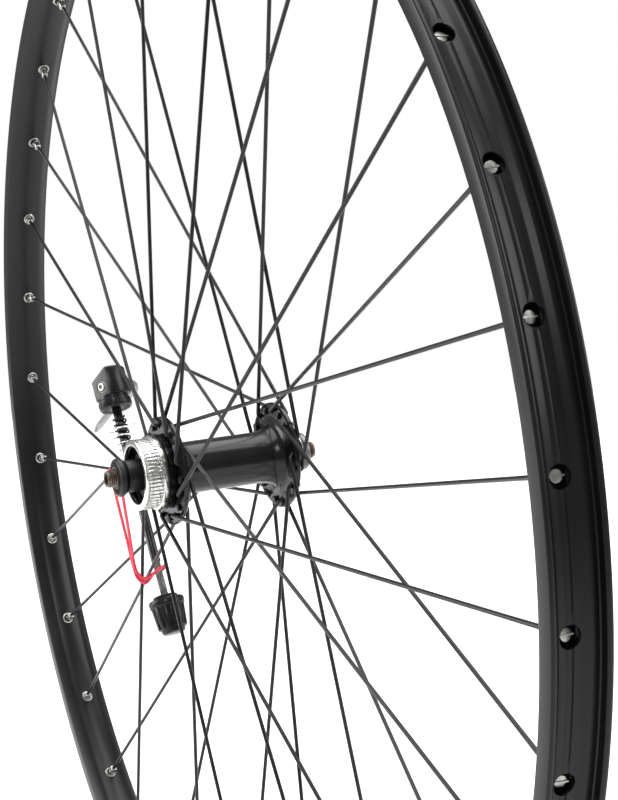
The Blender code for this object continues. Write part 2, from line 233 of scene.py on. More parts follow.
def rodBlack():
    look = Finish("rodBlack", Metallic=0.4, IOR=1.5, Coat_Weight=0.3, Coat_Roughness=0.1)
    cloud = look.noise(160.0, 4.0, 0.6)
    look.colour(look.ramp(cloud, (0.35, (0.008, 0.008, 0.009)), (0.75, (0.022, 0.021, 0.022))))
    look.roughness(0.2 + 0.16 * cloud)
    return look.bump(cloud, 0.1, 0.0001).material


def satinAlloy():
    look = Finish("satinAlloy", Metallic=0.9)
    cloud = look.noise(120.0, 4.0, 0.55)
    grain = look.noise(1500.0, 2.0)
    look.colour(look.ramp(cloud, (0.3, grey(0.30)), (0.72, grey(0.42))))
    look.roughness(0.32 + 0.14 * grain)
    return look.bump(grain, 0.12, 0.0001).material


def dullGrey():
    look = Finish("dullGrey", Metallic=0.9)
    cloud = look.noise(320.0, 4.0, 0.6)
    look.colour(look.ramp(cloud, (0.3, grey(0.09)), (0.75, grey(0.24))))
    look.roughness(0.3 + 0.2 * cloud)
    return look.bump(cloud, 0.2, 0.00015).material


def sealRubber():
    look = Finish("sealRubber", Specular_IOR_Level=0.4)
    dust = look.noise(240.0, 5.0, 0.7)
    look.colour(look.ramp(dust, (0.4, grey(0.008)), (0.8, grey(0.026))))
    look.roughness(0.5 + 0.25 * dust)
    return look.bump(dust, 0.25, 0.0002).material


def housingBlack():
    look = Finish("housingBlack", IOR=1.5, Specular_IOR_Level=0.25, Coat_Weight=0.12, Coat_Roughness=0.12)
    grain = look.noise(700.0, 3.0)
    dust = look.noise(90.0, 5.0, 0.7)
    look.colour(look.ramp(dust, (0.45, (0.004, 0.004, 0.0045)), (0.8, (0.014, 0.0135, 0.013))))
    look.roughness(0.26 + 0.18 * dust)
    return look.bump(grain, 0.12, 0.0001).material


def brightWire():
    look = Finish("brightWire", Metallic=1.0)
    cloud = look.noise(500.0, 3.0)
    look.colour(look.ramp(cloud, (0.3, grey(0.7)), (0.7, grey(0.88))))
    look.roughness(0.1 + 0.12 * cloud)
    return look.bump(cloud, 0.08, 0.0001).material


def redRubber():
    look = Finish("redRubber", IOR=1.45, Subsurface_Weight=0.25, Subsurface_Scale=0.0015)
    streak = look.noise(170.0, 4.0, 0.6)
    bloom = look.noise(1400.0, 3.0)
    dark, plain, pale = (0.50, 0.012, 0.032), (0.70, 0.03, 0.065), (0.80, 0.11, 0.15)
    look.colour(look.ramp(streak, (0.3, dark), (0.6, plain), (0.85, pale)))
    look.roughness(0.3 + 0.2 * bloom)
    return look.bump(streak * 0.6 + bloom * 0.4, 0.25, 0.0003).material


def paleFloor():
    look = Finish("paleFloor", Specular_IOR_Level=0.2)
    cloud = look.noise(3.0, 3.0)
    look.colour(look.ramp(cloud, (0.3, (0.88, 0.88, 0.885)), (0.7, (0.91, 0.91, 0.91))))
    look.roughness(0.7 + 0.1 * cloud)
    return look.material


finishes = {make.__name__: make() for make in (
    anodisedBlack, spokeBlack, hubBlack, machinedSilver, nickel, oiledSteel, groundSteel, blackOxide,
    rodBlack, satinAlloy, dullGrey, sealRubber, housingBlack, brightWire, redRubber, paleFloor,
)}
print("finishes made:", len(finishes))


def place(origin, up, out):
    # local Y lies along up, local X towards out, and the result is in metres
    y = Vector(up).normalized()
    x = (Vector(out) - y * Vector(out).dot(y)).normalized()
    return Matrix.Translation(origin) @ Matrix((x, y, x.cross(y))).transposed().to_4x4()


def radial(angle):
    return Vector((math.cos(angle), 0, math.sin(angle)))


def toObject(bm, name, finish, body=None, replaced=(), smooth=35, at=None):
    # sizes arrive in millimetres; at turns and moves the piece, in metres
    bmesh.ops.scale(bm, vec=(mm, mm, mm), verts=bm.verts)
    if at is not None:
        bmesh.ops.transform(bm, matrix=at, verts=bm.verts)
    bmesh.ops.recalc_face_normals(bm, faces=bm.faces)
    mesh = bpy.data.meshes.new(name)
    bm.to_mesh(mesh)
    bm.free()
    mesh.shade_smooth()
    mesh.set_sharp_from_angle(angle=math.radians(smooth))
    piece = bpy.data.objects.new(name, mesh)
    bpy.context.scene.collection.objects.link(piece)
    if finish:
        mesh.materials.append(finishes[finish])
    if body:
        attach(piece, body)
    if replaced:
        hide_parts(*replaced)
    return piece


def outline(bm, points):
    verts = [bm.verts.new((r, y, 0)) for r, y in points]
    return verts + [bm.edges.new(pair) for pair in zip(verts, verts[1:] + verts[:1])]


def arc(start, stop, step):
    return [math.radians(k) for k in range(start, stop, step)]


def turn(bm, points, steps):
    # one closed outline of (radius, y) spun once round Y
    bmesh.ops.spin(bm, geom=outline(bm, points), cent=(0, 0, 0), axis=(0, 1, 0),
                   angle=2 * math.pi, steps=steps, use_merge=True)
    bmesh.ops.remove_doubles(bm, verts=bm.verts, dist=1e-4)


def softenEdges(bm, width, angle=30, segments=2):
    sharp = [e for e in bm.edges if len(e.link_faces) == 2 and e.calc_face_angle(0) > math.radians(angle)]
    bmesh.ops.bevel(bm, geom=sharp, offset=width, segments=segments, profile=0.5,
                    affect="EDGES", material=-1, clamp_overlap=True)


def repeatRound(bm, geom, count):
    bmesh.ops.spin(bm, geom=geom, cent=(0, 0, 0), axis=(0, 1, 0), angle=2 * math.pi * (count - 1) / count,
                   steps=count - 1, use_duplicate=True)


def box(bm, size, centre, soft=0.0):
    made = bmesh.ops.create_cube(bm, size=1, matrix=Matrix.Translation(centre) @ Matrix.Diagonal((*size, 1)))
    verts = made["verts"]
    if soft:
        edges = list({e for v in verts for e in v.link_edges})
        verts = bmesh.ops.bevel(bm, geom=edges, offset=soft, segments=2, profile=0.5,
                                affect="EDGES", material=-1, clamp_overlap=True)["verts"]
        faces = list({f for v in verts for f in v.link_faces})
        verts = list({v for f in faces for v in f.verts})
    faces = list({f for v in verts for f in v.link_faces})
    edges = list({e for f in faces for e in f.edges})
    return verts + edges + faces


def rod(bm, stations, steps=16, at=None):
    # a solid of round sections (distance along Y, radius)
    first = stations[0]
    lie = Matrix.Rotation(math.radians(-90), 4, "X")
    made = bmesh.ops.create_circle(bm, cap_ends=True, segments=steps, radius=first[1],
                                   matrix=Matrix.Translation((0, first[0], 0)) @ lie)
    start = set(bm.verts) - set(made["verts"])
    face = made["verts"][0].link_faces[0]
    along, radius = first
    for nextAlong, nextRadius in stations[1:]:
        face = bmesh.ops.extrude_discrete_faces(bm, faces=[face])["faces"][0]
        bmesh.ops.translate(bm, vec=(0, nextAlong - along, 0), verts=face.verts)
        if nextRadius != radius:
            k = nextRadius / radius
            bmesh.ops.scale(bm, vec=(k, 1, k), verts=face.verts, space=Matrix.Translation((0, -nextAlong, 0)))
        along, radius = nextAlong, nextRadius
    bmesh.ops.holes_fill(bm, edges=[e for e in bm.edges if e.is_boundary], sides=0)
    new = [v for v in bm.verts if v not in start]
    if at is not None:
        bmesh.ops.transform(bm, matrix=at, verts=new)
    return new


def cut(piece, bm, operation="DIFFERENCE", at=None):
    tool = toObject(bm, piece.name + "Tool", None, at=at)
    modifier = piece.modifiers.new("cut", "BOOLEAN")
    modifier.object = tool
    modifier.operation = operation
    modifier.solver = "EXACT"
    graph = bpy.context.evaluated_depsgraph_get()
    mesh = bpy.data.meshes.new_from_object(piece.evaluated_get(graph), depsgraph=graph)
    piece.modifiers.clear()
    old = piece.data
    piece.data = mesh
    bpy.data.meshes.remove(old)
    bpy.data.objects.remove(tool)
    mesh.shade_smooth()
    mesh.set_sharp_from_angle(angle=math.radians(35))
    return piece


def wire(name, points, radius, finish, body, replaced=(), swell=None, cyclic=False, sides=3):
    # points in metres; a round wire made from a curve and left as a mesh
    curve = bpy.data.curves.new(name, "CURVE")
    curve.dimensions = "3D"
    curve.bevel_depth = radius * mm
    curve.bevel_resolution = sides
    curve.use_fill_caps = not cyclic
    spline = curve.splines.new("POLY")
    spline.points.add(len(points) - 1)
    for i, point in enumerate(points):
        spline.points[i].co = (*point, 1)
        spline.points[i].radius = swell[i] if swell else 1.0
    spline.use_cyclic_u = cyclic
    holder = bpy.data.objects.new(name + "Curve", curve)
    bpy.context.scene.collection.objects.link(holder)
    graph = bpy.context.evaluated_depsgraph_get()
    bm = bmesh.new()
    bm.from_mesh(holder.evaluated_get(graph).to_mesh())
    bpy.data.objects.remove(holder)
    bmesh.ops.remove_doubles(bm, verts=bm.verts, dist=1e-6)
    bmesh.ops.scale(bm, vec=(1 / mm, 1 / mm, 1 / mm), verts=bm.verts)
    return toObject(bm, name, finish, body, replaced, 50)


def smoothLoop(points, perSpan):
    count = len(points)
    curve = []
    for i in range(count):
        p0, p1, p2, p3 = (points[(i + k) % count] for k in (-1, 0, 1, 2))
        for k in range(perSpan):
            t = k / perSpan
            curve.append((2 * p1 + (p2 - p0) * t + (2 * p0 - 5 * p1 + 4 * p2 - p3) * t * t
                          + (3 * p1 - p0 - 3 * p2 + p3) * t ** 3) / 2)
    return curve


view = {
    "place": (0.76136, -0.30470, 0.18048),
    "azimuth": 64.768,
    "elevation": 10.438,
    "roll": -2.63,
    "lens": 99.67,
}


def addCamera():
    azimuth, elevation, roll = (math.radians(view[key]) for key in ("azimuth", "elevation", "roll"))
    level = math.cos(elevation)
    back = Vector((math.sin(azimuth) * level, -math.cos(azimuth) * level, math.sin(elevation)))
    right = Vector((math.cos(azimuth), math.sin(azimuth), 0))
    up = back.cross(right)
    across = right * math.cos(roll) + up * math.sin(roll)
    upward = up * math.cos(roll) - right * math.sin(roll)
    data = bpy.data.cameras.new("camera")
    data.lens = view["lens"]
    data.sensor_width = 36
    data.sensor_fit = "HORIZONTAL"
    data.clip_start = 0.01
    camera = bpy.data.objects.new("camera", data)
    facing = Matrix((across, upward, back)).transposed().to_4x4()
    camera.matrix_world = Matrix.Translation(view["place"]) @ facing
    bpy.context.scene.collection.objects.link(camera)
    bpy.context.scene.camera = camera


lamps = {
    "overhead": {"at": (-0.4, 0.2, 2.6), "size": (3.2, 3.2), "power": 150, "aim": (0, 0, 0)},
    "leftFront": {"at": (-1.5, -2.4, 0.7), "size": (1.6, 1.8), "power": 70, "aim": (0, 0, 0)},
    "rightSide": {"at": (1.5, 2.2, 1.2), "size": (1.6, 1.6), "power": 42, "aim": (0, 0, 0)},
    "cameraTop": {"at": (2.3, -1.4, 1.9), "size": (0.9, 0.9), "power": 22, "aim": (0, 0, 0)},
}

studio = {"colour": (0.97, 0.98, 1), "strength": 0.3, "floorRadius": 1900, "floorGap": 0.0005}


def addLight():
    for name, lamp in lamps.items():
        data = bpy.data.lights.new(name, "AREA")
        data.shape = "RECTANGLE"
        data.size, data.size_y = lamp["size"]
        data.energy = lamp["power"]
        light = bpy.data.objects.new(name, data)
        light.location = lamp["at"]
        aim = Vector(lamp["aim"]) - Vector(lamp["at"])
        light.rotation_euler = aim.to_track_quat("-Z", "Y").to_euler()
        bpy.context.scene.collection.objects.link(light)
    world = bpy.data.worlds.new("studio")
    bpy.context.scene.world = world
    world.use_nodes = True
    sky = Tree(world)
    sky.nodes.remove(sky.nodes["Background"])
    colour = (*studio["colour"], 1)
    lit = sky.add("ShaderNodeBackground", {}, {"Color": colour, "Strength": studio["strength"]})
    seen = sky.add("ShaderNodeBackground", {}, {"Color": (1, 1, 1, 1), "Strength": 1.0})
    toCamera = sky.add("ShaderNodeLightPath", {}, {}, "Is Camera Ray")
    mix = sky.add("ShaderNodeMixShader", {}, {0: toCamera, 1: lit, 2: seen})
    sky.plug(mix, sky.nodes["World Output"].inputs["Surface"])
    bpy.context.scene.view_settings.view_transform = "Standard"


def addFloor():
    bm = bmesh.new()
    bmesh.ops.create_circle(bm, cap_ends=True, segments=96, radius=studio["floorRadius"])
    level = Matrix.Translation((0, 0, cadBox[0][2] - studio["floorGap"]))
    toObject(bm, "floor", "paleFloor", at=level)


addCamera()
addLight()
addFloor()
print("camera, light and floor done")


rim = {
    "outer": 316.0, "half": 12.4, "face": 302.5, "faceHalf": 5.6,
    "holes": 36, "firstHole": 9.54, "steps": 216, "soft": 0.35,
    "nippleHole": 2.6, "accessHole": 4.35, "valveHole": 4.2, "valveSlot": 25.5,
}


def rimAngle(index):
    return math.radians(rim["firstHole"] + 360 / rim["holes"] * index)


def rimOutline():
    out, half = rim["outer"], rim["half"]
    side = [
        (rim["face"], rim["faceHalf"]), (304.0, 7.9), (308.2, half), (out - 0.6, half), (out, half - 0.6),
        (out, half - 1.9), (out - 0.9, half - 2.7), (out - 2.2, half - 2.4), (out - 3.0, half - 1.4),
        (310.7, half - 1.4), (310.2, half - 2.0), (310.2, 7.4), (309.9, 6.7), (308.6, 5.4), (308.2, 4.4),
        (308.0, 1.6), (308.25, 1.2),
    ]
    return side + [(r, -y) for r, y in reversed(side)]


def drill(bm, angle, stations, steps=24):
    rod(bm, stations, steps, at=place(radial(angle) * 302.6, radial(angle), yAxis))


def buildRim():
    bm = bmesh.new()
    turn(bm, rimOutline(), rim["steps"])
    softenEdges(bm, rim["soft"], 40)
    body = toObject(bm, "rimBody", "anodisedBlack", "wheel", ("rim",), 25)
    bm = bmesh.new()
    cavity = [(303.8, 5.1), (308.4, 10.6), (308.8, 10.6), (308.6, 7.0), (306.8, 5.3)]
    turn(bm, cavity + [(r, -y) for r, y in reversed(cavity)], rim["steps"])
    cut(body, bm)
    bm = bmesh.new()
    for index in range(rim["holes"]):
        small, wide = rim["nippleHole"], rim["accessHole"]
        drill(bm, rimAngle(index), [(-2, small), (2.7, small), (2.7001, wide), (9, wide)])
    drill(bm, rimAngle(rim["valveSlot"]), [(-3, rim["valveHole"]), (9, rim["valveHole"])])
    cut(body, bm)
    return body


buildRim()
print("rim done")


lacing = {
    "crosses": 3, "wire": 1.0, "middle": 0.93, "pitch": 22.5, "flanges": (-23.4, 34.8), "flangeHalf": 1.4,
    "inner": 2.75, "outer": 3.45, "stagger": 0.4, "holeRadius": 302.6, "head": 1.8,
}


def spokePlan(index):
    right = index % 2 == 0
    leads = 1 if index % 4 in (1, 2) else -1
    angle = rimAngle(index)
    hub = angle + leads * lacing["crosses"] * 4 * math.pi / rim["holes"]
    hole = radial(hub) * lacing["pitch"] + yAxis * lacing["flanges"][right]
    end = radial(angle) * lacing["holeRadius"] + yAxis * (lacing["stagger"] if right else -lacing["stagger"])
    return hole, end, -leads if right else leads, right


def buildSpoke(index):
    hole, end, side, right = spokePlan(index)
    offset = lacing["outer"] if (side > 0) == right else lacing["inner"]
    lean = yAxis * side
    start = hole + lean * offset
    way = (end - start).normalized()
    head = hole - lean * (lacing["flangeHalf"] + 1.45)
    big = lacing["head"]
    path = [head, head + lean * 0.12, head + lean * 0.75, head + lean * 1.3, hole - lean * 0.6]
    swell = [big * 0.72, big * 0.96, big, 1.04, 1.0]
    first, corner, last = hole + lean * (offset - 2.1), start, start + way * 2.2
    for step in range(8):
        t = step / 7
        path.append(first * (1 - t) ** 2 + corner * 2 * t * (1 - t) + last * t * t)
        swell.append(1.0)
    length = (end - last).length
    thin = lacing["middle"]
    for along, thick in ((0.05, 1.0), (0.09, thin), (0.5, thin), (0.9, thin), (0.94, 1.0)):
        path.append(last + way * length * along)
        swell.append(thick)
    path.append(end + way * 0.5)
    swell.append(1.0)
    name, node = f"spokeWire{index + 1:02d}", f"spoke_{index + 1:02d}"
    wire(name, [p * mm for p in path], lacing["wire"], "spokeBlack", "wheel", (node,), swell, sides=4)
    return end, way


nipple = {
    "square": 1.62, "soft": 0.42, "body": 1.95, "start": -5.8, "shoulder": -1.5, "head": 2.75,
    "eyeletIn": 2.25, "eyeletOut": 3.3, "eyeletFace": 0.35,
}


def buildNipple(index, end, way):
    bm = bmesh.new()
    lie = Matrix.Rotation(math.radians(-90), 4, "X") @ Matrix.Rotation(math.radians(45), 4, "Z")
    bmesh.ops.create_circle(bm, cap_ends=True, segments=4, radius=nipple["square"] * math.sqrt(2),
                            matrix=Matrix.Translation((0, nipple["start"], 0)) @ lie)
    top = bmesh.ops.extrude_face_region(bm, geom=bm.faces[:])["geom"]
    rise = [v for v in top if isinstance(v, bmesh.types.BMVert)]
    bmesh.ops.translate(bm, vec=(0, nipple["shoulder"] - nipple["start"], 0), verts=rise)
    bmesh.ops.bevel(bm, geom=bm.edges[:], offset=nipple["soft"], segments=2, profile=0.5,
                    affect="EDGES", material=-1, clamp_overlap=True)
    rod(bm, [(nipple["start"] - 0.25, 1.15), (nipple["start"], 1.45), (nipple["start"] + 0.5, 1.5)], 16)
    big = nipple["head"]
    rod(bm, [(nipple["shoulder"] - 0.4, 1.5), (nipple["shoulder"], nipple["body"]), (1.4, nipple["body"]),
             (1.75, big), (2.7, big), (3.2, big * 0.86), (3.35, big * 0.6)], 20)
    box(bm, (big * 2.1, 0.5, 0.7), (0, 3.4, 0))
    toObject(bm, f"nipple{index + 1:02d}", "nickel", "wheel", at=place(end * mm, way, yAxis))


def buildEyelets():
    bm = bmesh.new()
    inside, outside, face = nipple["eyeletIn"], nipple["eyeletOut"], nipple["eyeletFace"]
    turn(bm, [(inside, -0.95), (inside + 0.5, -face - 0.85), (outside - 0.6, -face - 0.35),
              (outside, -face + 0.1), (outside, 0.3), (inside, 0.3)], 24)
    out = radial(rimAngle(0))
    bmesh.ops.transform(bm, matrix=place(out * lacing["holeRadius"], out, yAxis), verts=bm.verts)
    repeatRound(bm, bm.verts[:] + bm.edges[:] + bm.faces[:], rim["holes"])
    toObject(bm, "rimEyelets", "nickel", "wheel")


for index in range(rim["holes"]):
    buildNipple(index, *buildSpoke(index))
buildEyelets()
print("spokes, nipples and eyelets done")


hub = {"steps": 96, "barrel": 12.75, "hole": 1.3, "sink": 1.95, "threads": 6}


def hubOutline():
    left, right = lacing["flanges"]
    half = lacing["flangeHalf"]
    thread = []
    for groove in range(hub["threads"]):
        low = -38.9 + groove * 0.46
        thread += [(14.55, low), (14.1, low + 0.23)]
    barrel = hub["barrel"]
    flare = [(barrel + 5.1 * (1 - math.cos(t)), 22.0 + 11.2 * math.sin(t)) for t in arc(0, 91, 15)]
    root = [(barrel + 2.9 * (1 - math.cos(t)), -16.2 - 5.6 * math.sin(t)) for t in arc(90, -1, -18)]
    return [
        (14.3, -39.3), (15.5, -39.3), (15.5, -28.45), (18.3, -28.4), (18.3, -27.2), (17.7, -27.0),
        (17.7, -26.5), (18.1, -26.3), (18.1, -25.6), (17.0, left - half), (21.0, left - half),
        (25.8, left - half), (26.5, left - 0.7), (26.5, left + 0.7), (25.8, left + half), *root, *flare,
        (20.0, right - half), (25.6, right - half),
        (26.3, right - 0.7), (26.3, right + 0.7), (25.6, right + half), (15.0, right + half), (14.3, 37.0),
        (14.3, 41.0), (13.0, 41.0), (13.0, 33.1), (10.5, 33.1), (10.5, -27.0), (13.0, -27.0), (13.0, -36.0),
        (14.1, -36.1), *reversed(thread),
    ]


def buildHubShell():
    bm = bmesh.new()
    turn(bm, hubOutline(), hub["steps"])
    shell = toObject(bm, "hubBody", "hubBlack", "wheel", ("hub_shell",), 28)
    bm = bmesh.new()
    half = lacing["flangeHalf"]
    small, big = hub["hole"], hub["sink"]
    stations = [(-half - 0.3, big + 0.1), (-half + 0.65, small),
                (half - 0.65, small), (half + 0.3, big + 0.1)]
    for index in range(rim["holes"]):
        hole = spokePlan(index)[0]
        rod(bm, stations, 16, at=Matrix.Translation(hole))
    return cut(shell, bm)


spline = {"teeth": 52, "tooth": (1.1, 6.5, 1.5), "middle": (16.5, -35.1, 0), "soft": 0.12}


def buildSplineRing():
    bm = bmesh.new()
    turn(bm, [
        (14.35, -40.3), (16.7, -40.3), (17.05, -40.1), (17.15, -39.9), (17.15, -39.4), (16.9, -39.2),
        (16.3, -39.1), (16.05, -38.3), (16.0, -38.2), (16.0, -31.9), (17.7, -31.7), (18.0, -31.5),
        (18.0, -29.2), (17.8, -28.75), (15.8, -28.75), (15.8, -39.5), (14.35, -39.5),
    ], 156)
    repeatRound(bm, box(bm, spline["tooth"], spline["middle"], spline["soft"]), spline["teeth"])
    toObject(bm, "splineRing", "machinedSilver", "wheel", ("rotor_spline_ring",), 30)


buildHubShell()
buildSplineRing()
print("hub shell and spline ring done")


axle = {"end": 54.6, "radius": 4.3, "bore": 2.65, "pitch": 1.0, "clear": 42.0}


def buildAxle():
    threads = []
    steps = int((axle["end"] - 0.7 - axle["clear"]) / (axle["pitch"] / 2))
    for k in range(steps + 1):
        y = axle["clear"] + k * axle["pitch"] / 2
        threads.append((axle["radius"] - (0.42 if k % 2 else 0.0), y))
    side = threads + [(3.9, axle["end"] - 0.35), (3.7, axle["end"]), (axle["bore"] + 0.35, axle["end"]),
                      (axle["bore"], axle["end"] - 0.4)]
    bm = bmesh.new()
    turn(bm, [(r, -y) for r, y in reversed(side)] + side, 48)
    toObject(bm, "axleTube", "oiledSteel", "fixed_axle", ("axle",), 40)


def knurl(bm, count, size, centre, tilt=0.0):
    ridge = box(bm, size, (0, 0, 0), min(size) * 0.25)
    verts = [v for v in ridge if isinstance(v, bmesh.types.BMVert)]
    bmesh.ops.transform(bm, matrix=Matrix.Translation(centre) @ Matrix.Rotation(tilt, 4, "Z"), verts=verts)
    repeatRound(bm, ridge, count)


def buildLocknut(name, finish, way, replaced):
    bm = bmesh.new()
    side = [(4.62, 50.0), (5.4, 50.0), (5.5, 49.75), (8.0, 49.75), (8.6, 49.65), (9.05, 49.3),
            (9.3, 48.6), (9.3, 47.4), (9.05, 46.8), (8.3, 46.1), (8.1, 45.7), (4.62, 45.7)]
    turn(bm, [(r, way * y) for r, y in side], 72)
    knurl(bm, 40, (2.5, 0.45, 0.32), (6.75, way * 49.75, 0))
    knurl(bm, 56, (0.3, 1.6, 0.5), (9.15, way * 48.0, 0))
    toObject(bm, name, finish, "fixed_axle", replaced, 35)


bearings = {                                   # way points from the balls towards the hub's middle
    "Left": {"balls": -31.0, "way": 1, "cone": 14.3, "seal": -3.4, "sealThick": 1.0},
    "Right": {"balls": 37.2, "way": -1, "cone": 8.1, "seal": -2.9, "sealThick": 0.8},
}


def buildCones():
    for name, bearing in bearings.items():
        y, way, length = bearing["balls"], bearing["way"], bearing["cone"]
        bm = bmesh.new()
        race = [(5.6 + 2.2 * (1 - math.cos(t)), -0.2 - 2.8 * math.sin(t)) for t in arc(0, 91, 15)]
        neck = [(7.8, -4.0), (7.55, -4.3), (7.55, -4.9), (7.8, -5.2)]
        end = [(7.8, -length + 0.4), (7.4, -length), (4.62, -length)]
        shape = [(4.62, 1.3), (4.9, 1.3)] + race + neck + end
        turn(bm, [(r, y + way * a) for r, a in shape], 64)
        softenEdges(bm, 0.12, 40)
        toObject(bm, "cone" + name, "blackOxide", "fixed_axle", (f"bearing_cone_{name.lower()}",), 30)


def buildBoot():
    bm = bmesh.new()
    ribs = []
    for k in range(4):
        y = 41.5 + k * 0.95
        ribs += [(9.0, y), (9.45, y + 0.25), (9.45, y + 0.55), (9.0, y + 0.8)]
    turn(bm, [(8.12, 41.4)] + ribs + [(8.9, 45.3), (8.12, 45.3)], 72)
    toObject(bm, "dustBoot", "sealRubber", "fixed_axle", ("dust_boot_right",), 40)
    bm = bmesh.new()
    turn(bm, [(8.0, 45.36), (9.0, 45.36), (9.15, 45.45), (9.15, 45.62), (8.0, 45.62)], 64)
    toObject(bm, "bootWasher", "machinedSilver", "fixed_axle")


def buildSeals():
    for name, bearing in bearings.items():
        y, way, start = bearing["balls"], bearing["way"], bearing["seal"]
        bm = bmesh.new()
        end = start - bearing["sealThick"]
        shape = [(8.25, start), (12.6, start), (12.6, end), (11.6, end), (11.3, end + 0.3), (9.6, end + 0.3),
                 (9.3, end), (8.6, end), (8.25, end + 0.25)]
        turn(bm, [(r, y + way * a) for r, a in shape], 64)
        toObject(bm, "seal" + name, "sealRubber", "wheel", (f"dust_seal_{name.lower()}",), 35)


balls = {"count": 10, "radius": 2.36, "pitch": 8.9}


def buildBallRings():
    middle = Matrix.Translation((balls["pitch"], 0, 0))
    for name, bearing in bearings.items():
        side = name.lower()
        bm = bmesh.new()
        ball = bmesh.ops.create_icosphere(bm, subdivisions=3, radius=balls["radius"], matrix=middle)["verts"]
        faces = list({f for v in ball for f in v.link_faces})
        edges = list({e for v in ball for e in v.link_edges})
        repeatRound(bm, ball + edges + faces, balls["count"])
        turn(bm, [(8.35, -0.5), (9.45, -0.5), (9.6, 0.0), (9.45, 0.5), (8.35, 0.5), (8.2, 0.0)], 60)
        bmesh.ops.translate(bm, vec=(0, bearing["balls"], 0), verts=bm.verts)
        toObject(bm, "balls" + name, "groundSteel", f"{side}_balls", (f"ball_ring_{side}",), 40)


buildAxle()
buildLocknut("locknutLeft", "blackOxide", -1, ("locknut_left",))
buildLocknut("locknutRight", "dullGrey", 1, ("locknut_right",))
buildCones()
buildBoot()
buildSeals()
buildBallRings()
for cup in ("bearing_cup_left", "bearing_cup_right"):
    frame["nodes"][cup].data.materials.clear()
    frame["nodes"][cup].data.materials.append(finishes["groundSteel"])
print("axle, cones, locknuts, seals and balls done")


down = Vector(joints["nut_travel"]["axis"]).normalized()
pinWay = Vector(joints["lever_swing"]["axis"]).normalized()
leverWay = pinWay.cross(down)
pinAt = Vector(joints["lever_swing"]["pos_m"])
base = pinAt + down * 14.4 * mm
onSkewer = place(base, down, pinWay)        # local Y runs down the rod, X towards the lever's side
onPin = place(pinAt, pinWay, leverWay)      # local Y runs along the cam shaft, X along the lever
across = Vector((down.z, 0, -down.x)).normalized()
beside = down.cross(across)

skewer = {
    "rod": 2.5, "thread": 2.15, "pitch": 0.8, "threadDepth": 0.26, "threadFrom": 86.0, "end": 118.0,
    "nutFace": 106.0, "nutLength": 18.5,
}
head = {"top": -24.2, "radius": 9.55, "cheek": 7.45, "pin": 2.35, "leverOut": 13.5}


def buildRod():
    last = skewer["threadFrom"] - 0.6
    bm = bmesh.new()
    turn(bm, [(0.2, -8.0), (2.1, -8.0), (skewer["rod"], -7.5), (skewer["rod"], last),
              (1.8, last + 0.5), (0.2, last + 0.5)], 28)
    bmesh.ops.holes_fill(bm, edges=[e for e in bm.edges if e.is_boundary], sides=0)
    toObject(bm, "skewerRod", "rodBlack", "wheel", ("skewer_rod",), 40, onSkewer)
    step, start = skewer["pitch"] / 2, skewer["threadFrom"]
    side = [(0.2, last + 0.2)]
    for k in range(int((skewer["end"] - start) / step)):
        side.append((skewer["thread"] - (skewer["threadDepth"] if k % 2 else 0.0), start - 0.2 + k * step))
    side += [(1.6, skewer["end"]), (0.2, skewer["end"])]
    bm = bmesh.new()
    turn(bm, side, 28)
    toObject(bm, "rodThread", "dullGrey", "wheel", smooth=40, at=onSkewer)


def buildHousing():
    top, radius, cheek = head["top"], head["radius"], head["cheek"]
    bm = bmesh.new()
    rod(bm, [(top, radius - 0.9), (top + 0.3, radius - 0.4), (top + 0.9, radius), (-9.2, radius),
             (-8.7, radius - 0.3), (-8.4, radius - 0.8)], 72)
    block = toObject(bm, "camHousing", "housingBlack", "wheel", ("skewer_housing",), 30, onSkewer)
    for way in (-1, 1):                        # the two flat cheeks
        bm = bmesh.new()
        box(bm, (10, 28, 28), (way * (cheek + 5), -20.25, 0))
        cut(block, bm, at=onSkewer)
    bm = bmesh.new()                           # the slanted top
    slant = (leverWay * 5 - down * 12).normalized()
    box(bm, (40, 20, 40), (0, 10, 0))
    cut(block, bm, at=place(base + (down * top - leverWay * 6) * mm, slant, pinWay))
    bm = bmesh.new()
    bm.from_mesh(block.data)
    bmesh.ops.scale(bm, vec=(1 / mm, 1 / mm, 1 / mm), verts=bm.verts)
    bmesh.ops.remove_doubles(bm, verts=bm.verts, dist=1e-3)
    bmesh.ops.dissolve_limit(bm, angle_limit=math.radians(1), verts=bm.verts, edges=bm.edges)
    softenEdges(bm, 0.55, 32, 3)
    bmesh.ops.scale(bm, vec=(mm, mm, mm), verts=bm.verts)
    bm.to_mesh(block.data)
    bm.free()
    bm = bmesh.new()
    foot = [(-9.0, 8.2), (-7.3, 8.2), (-6.9, 8.6), (-6.6, 8.85), (-2.6, 8.85), (-2.2, 8.6), (-1.85, 8.2)]
    rod(bm, foot, 64)
    cut(block, bm, "UNION", onSkewer)
    bm = bmesh.new()
    rod(bm, [(-9, 2.8), (2, 2.8)], 32)
    cut(block, bm, at=onSkewer)
    bm = bmesh.new()
    rod(bm, [(-12, 3.3), (-cheek + 0.9, 3.3), (-cheek + 0.901, 2.65), (12, 2.65)], 40)
    return cut(block, bm, at=onPin)


def buildFoot():
    bm = bmesh.new()
    knurl(bm, 40, (0.55, 3.0, 0.55), (8.72, -4.4, 0))
    knurl(bm, 30, (3.6, 0.45, 0.6), (5.9, -1.92, 0))
    toObject(bm, "footSerration", "housingBlack", "wheel", at=onSkewer)


